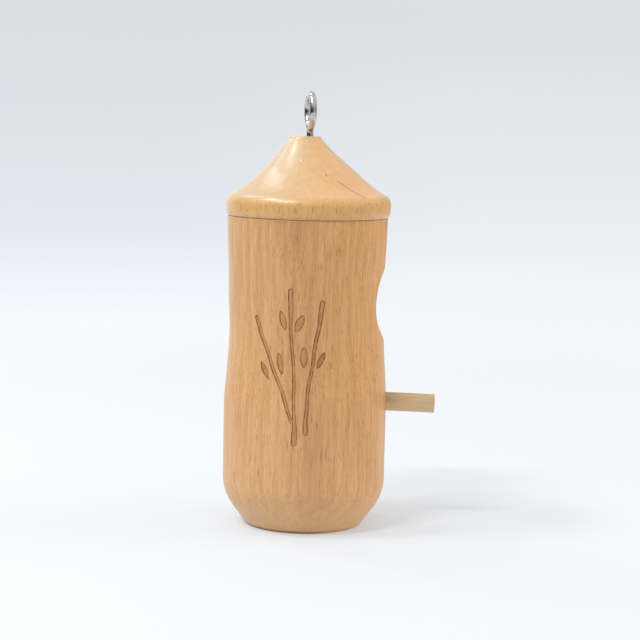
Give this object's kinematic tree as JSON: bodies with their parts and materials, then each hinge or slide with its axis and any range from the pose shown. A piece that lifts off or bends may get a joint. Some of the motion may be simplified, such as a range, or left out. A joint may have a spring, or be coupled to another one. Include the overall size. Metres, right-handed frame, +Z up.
{
  "type": "nest house",
  "caption": "Turned wooden nest house for small birds: hollow waisted body with a round side entrance and dowel perch, lift-off conical roof and a screw eye to hang it by.",
  "frame": {"origin": "centre of the flat foot, on the surface it stands on", "axes": "+Z up along the turning axis, +X out through the entrance hole and along the perch, -Y out of the engraved front"},
  "size_m": [0.0906, 0.07, 0.184],
  "materials": {
    "body_wood": "satin lacquer",
    "roof_wood": "satin lacquer",
    "perch_wood": "bare, sanded",
    "eye_plating": "bright plating"
  },
  "bodies": {
    "house": {"nest_body": "body_wood"},
    "roof": {"roof": "roof_wood"},
    "perch": {"perch": "perch_wood"},
    "eye": {"screw_eye": "eye_plating"}
  },
  "joints": [
    {"name": "roof_lift", "type": "slide", "parent": "house", "child": "roof", "axis": [0, 0, 1], "range_m": [0, 0.03]},
    {"name": "perch_pull", "type": "slide", "parent": "house", "child": "perch", "axis": [0.9997, 0, -0.0262], "range_m": [0, 0.015]},
    {"name": "eye_turn", "type": "hinge", "parent": "roof", "child": "eye", "pos_m": [0, 0, 0.1648], "axis": [0, 0, 1], "range_deg": [-180, 180]}
  ]
}
